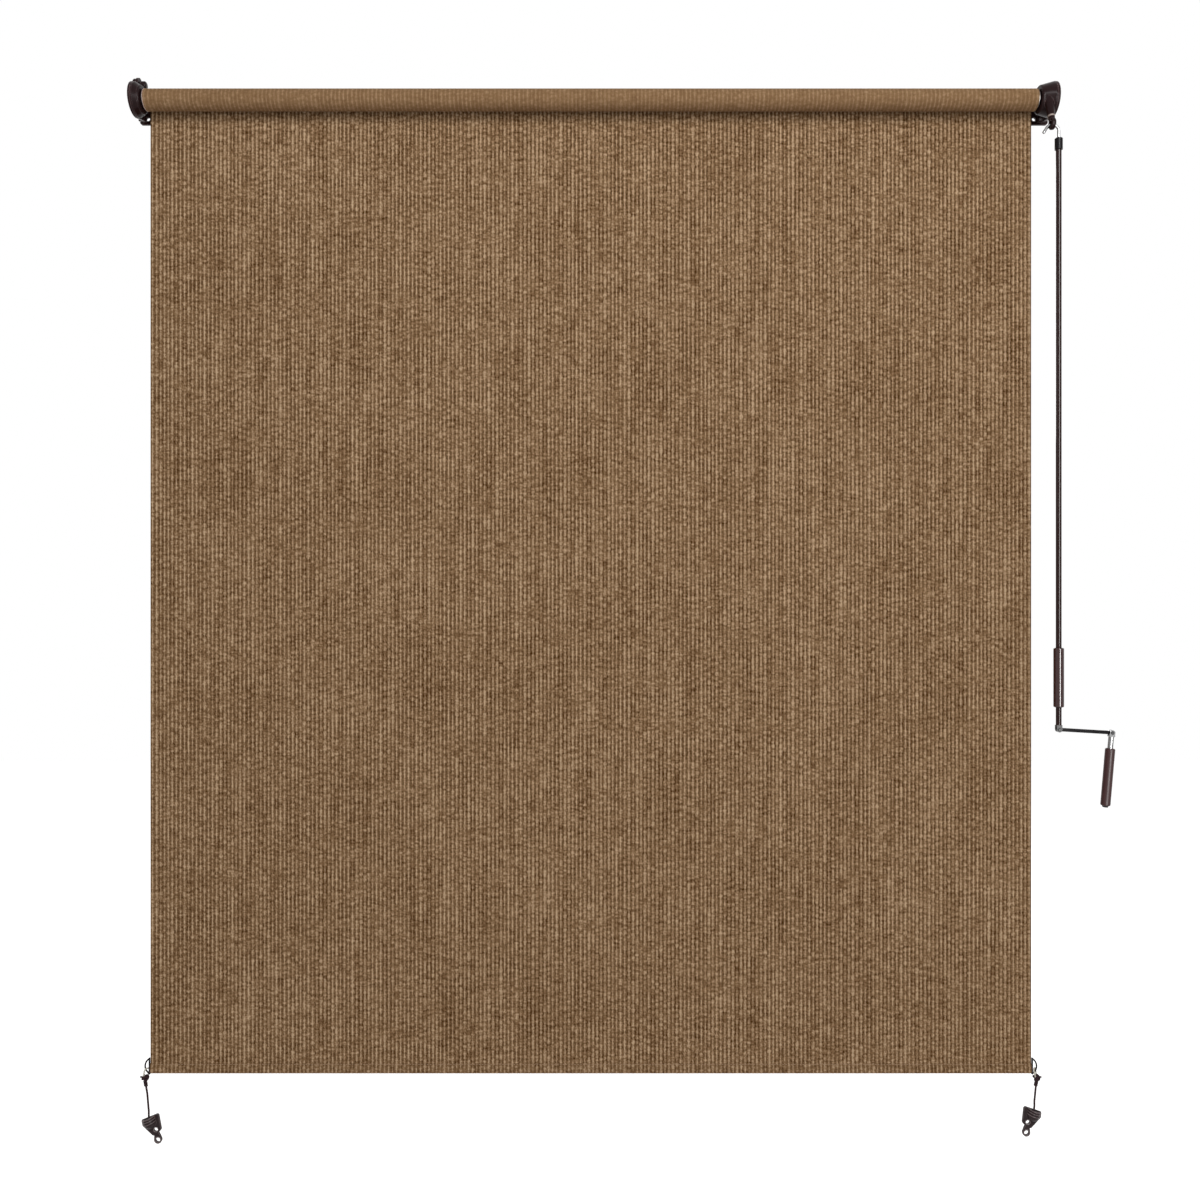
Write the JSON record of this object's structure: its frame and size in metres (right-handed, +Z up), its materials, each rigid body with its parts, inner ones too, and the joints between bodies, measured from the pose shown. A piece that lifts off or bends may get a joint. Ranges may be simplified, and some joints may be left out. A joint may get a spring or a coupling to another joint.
{
  "type": "outdoor roller shade",
  "caption": "Outdoor roller shade: knitted cloth on a wall-bracketed tube, worm gear with an eyelet, folding hook-on crank, hem rail with tie-down cords and clips.",
  "frame": {"origin": "on the wall, in the middle of the four wall screw holes of the two brackets", "axes": "+X along the roller towards the crank, +Y into the wall, +Z up"},
  "size_m": [2.0103, 0.1102, 2.212],
  "materials": {
    "dark_plastic": "satin",
    "bush": "matte",
    "steel": "bright",
    "cloth": "knitted",
    "aluminium": "mill",
    "black_plastic": "satin",
    "pole_paint": "satin",
    "grip_plastic": "gloss",
    "cord": "braided",
    "clip_plastic": "satin"
  },
  "bodies": {
    "frame": {"left_bracket": "dark_plastic", "left_cover": "dark_plastic", "idler_housing": "dark_plastic", "idler_bush": "bush", "idler_screws": "steel", "right_bracket": "dark_plastic", "right_cover": "dark_plastic", "gear_housing": "dark_plastic", "stem_bush": "bush", "gear_screws": "steel", "cloth_panel": "cloth"},
    "roller": {"roller_tube": "aluminium", "idler_plug": "black_plastic", "idler_pin": "steel", "drive_plug": "black_plastic", "worm_wheel": "bush", "cloth_roll": "cloth"},
    "gear_input": {"worm_shaft": "steel", "eyelet": "dark_plastic", "eyelet_pin": "steel"},
    "crank": {"crank_hook": "steel", "hook_collar": "black_plastic", "crank_pole": "pole_paint", "elbow_fork": "steel", "elbow_pin": "steel"},
    "sleeve": {"pole_sleeve": "grip_plastic"},
    "arm": {"crank_arm": "black_plastic"},
    "handle": {"handle_stub": "steel", "handle_pin": "steel", "grip_screw": "steel"},
    "grip": {"handle_grip": "grip_plastic"},
    "rail": {"hem_rail": "aluminium", "cloth_hem": "cloth", "left_end_cap": "black_plastic", "right_end_cap": "black_plastic", "left_knot": "cord", "left_cord": "cord", "left_clip": "clip_plastic", "right_knot": "cord", "right_cord": "cord", "right_clip": "clip_plastic"}
  },
  "joints": [
    {"name": "crank_turn", "type": "hinge", "parent": "frame", "child": "gear_input", "pos_m": [0.933, -0.09872, -0.07573], "axis": [0, 0.2588, 0.9659], "range_deg": [0, 20160]},
    {"name": "roller_turn", "type": "hinge", "parent": "frame", "child": "roller", "pos_m": [0, -0.062, -0.01], "axis": [1, 0, 0], "range_deg": [0, 4032]},
    {"name": "rail_lift", "type": "slide", "parent": "frame", "child": "rail", "axis": [0, 0, 1], "range_m": [0, 1.901], "deforming": ["cloth_panel"]},
    {"name": "crank_swing", "type": "hinge", "parent": "gear_input", "child": "crank", "pos_m": [0.933, -0.09872, -0.07763], "axis": [1, 0, 0], "range_deg": [-70, 2]},
    {"name": "sleeve_spin", "type": "hinge", "parent": "crank", "child": "sleeve", "pos_m": [0.946, -0.09872, -1.19464], "axis": [0, 0, 1], "continuous": true},
    {"name": "elbow_fold", "type": "hinge", "parent": "crank", "child": "arm", "pos_m": [0.946, -0.09872, -1.29964], "axis": [0, 1, 0], "range_deg": [0, 86]},
    {"name": "handle_fold", "type": "hinge", "parent": "arm", "child": "handle", "pos_m": [1.05281, -0.09872, -1.30598], "axis": [0, 1, 0], "range_deg": [-91.5, 0]},
    {"name": "grip_spin", "type": "hinge", "parent": "handle", "child": "grip", "pos_m": [1.05281, -0.09872, -1.30598], "axis": [0.0854, 0, 0.9963], "continuous": true}
  ],
  "couplings": [
    {"joint": "roller_turn", "follows": "crank_turn", "ratio": 0.2},
    {"joint": "rail_lift", "follows": "crank_turn", "m_per_rad": 0.0054}
  ]
}
